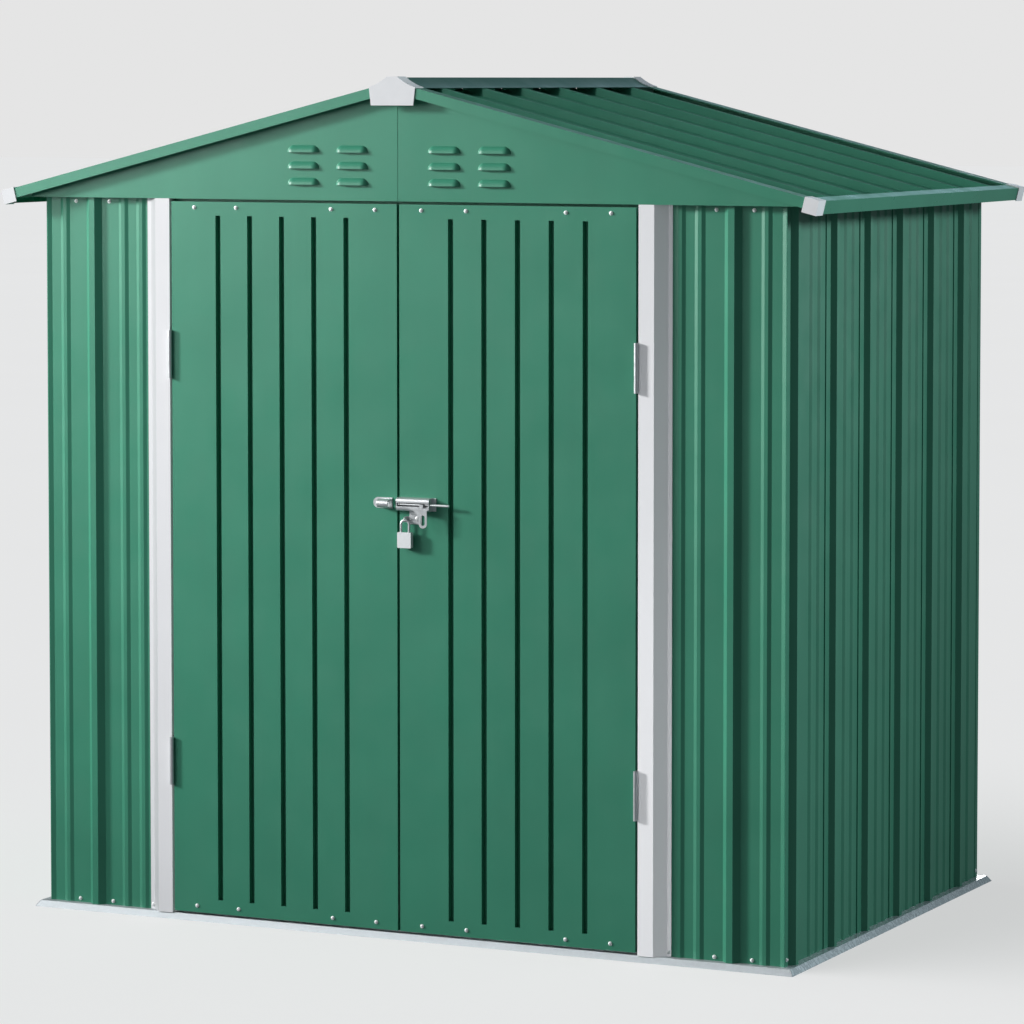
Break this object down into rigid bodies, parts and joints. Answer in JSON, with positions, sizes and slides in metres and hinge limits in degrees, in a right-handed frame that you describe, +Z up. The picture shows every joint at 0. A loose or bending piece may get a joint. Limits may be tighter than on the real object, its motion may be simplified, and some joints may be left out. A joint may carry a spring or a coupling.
{
  "type": "metal storage shed",
  "caption": "Gabled garden storage shed of ribbed green sheet metal on base rails, with double hinged doors, white jambs, pressed louvres and a sliding bolt latch with padlock",
  "frame": {"origin": "on the ground at the middle of the plan", "axes": "+Z up, the doors face -Y, +X to the right of someone who faces the doors"},
  "size_m": [1.9308, 1.254, 1.836],
  "materials": {
    "green_sheet": "satin green baked enamel on thin steel sheet",
    "roof_sheet": "satin dark green baked enamel on thin steel sheet",
    "white_jamb": "satin white enamel",
    "white_plastic": "smooth white moulded plastic",
    "zinc_rail": "galvanised steel",
    "hardware": "bright zinc plated steel",
    "padlock": "satin light grey"
  },
  "bodies": {
    "shell": {"front_panel_left": "green_sheet", "front_panel_right": "green_sheet", "side_wall_left": "green_sheet", "side_wall_right": "green_sheet", "rear_wall_left": "green_sheet", "rear_wall_right": "green_sheet", "front_gable_left": "green_sheet", "front_gable_right": "green_sheet", "rear_gable_left": "green_sheet", "rear_gable_right": "green_sheet", "front_verge_left": "green_sheet", "front_verge_right": "green_sheet", "rear_verge_left": "green_sheet", "rear_verge_right": "green_sheet", "eave_trim_left": "green_sheet", "eave_trim_right": "green_sheet", "roof_sheet_left": "roof_sheet", "roof_sheet_right": "roof_sheet", "ridge_cap": "roof_sheet", "door_jamb_left": "white_jamb", "door_jamb_right": "white_jamb", "ridge_end_cap_front": "white_plastic", "ridge_end_cap_rear": "white_plastic", "eave_corner_caps": "white_plastic", "front_base_rail": "zinc_rail", "rear_base_rail": "zinc_rail", "left_base_rail": "zinc_rail", "right_base_rail": "zinc_rail", "ridge_beam": "zinc_rail", "front_top_rail": "green_sheet", "rear_top_rail": "green_sheet", "side_top_rail_left": "green_sheet", "side_top_rail_right": "green_sheet", "left_hinge_jamb_leaves": "hardware", "right_hinge_jamb_leaves": "hardware"},
    "left_leaf": {"left_door": "green_sheet", "left_door_stiffeners": "zinc_rail", "left_hinge_door_leaves": "hardware", "latch_keeper": "hardware"},
    "right_leaf": {"right_door": "green_sheet", "right_door_stiffeners": "zinc_rail", "right_hinge_door_leaves": "hardware", "latch_guide": "hardware", "padlock_body": "padlock", "padlock_shackle": "hardware"},
    "bolt": {"latch_bolt": "hardware"}
  },
  "joints": [
    {"name": "left_door_swing", "type": "hinge", "parent": "shell", "child": "left_leaf", "pos_m": [-0.55325, -0.6052, 0], "axis": [0, 0, -1], "range_deg": [0, 110]},
    {"name": "right_door_swing", "type": "hinge", "parent": "shell", "child": "right_leaf", "pos_m": [0.55325, -0.6052, 0], "axis": [0, 0, 1], "range_deg": [0, 110]},
    {"name": "bolt_slide", "type": "slide", "parent": "right_leaf", "child": "bolt", "axis": [-1, 0, 0], "range_m": [0, 0.045]}
  ]
}
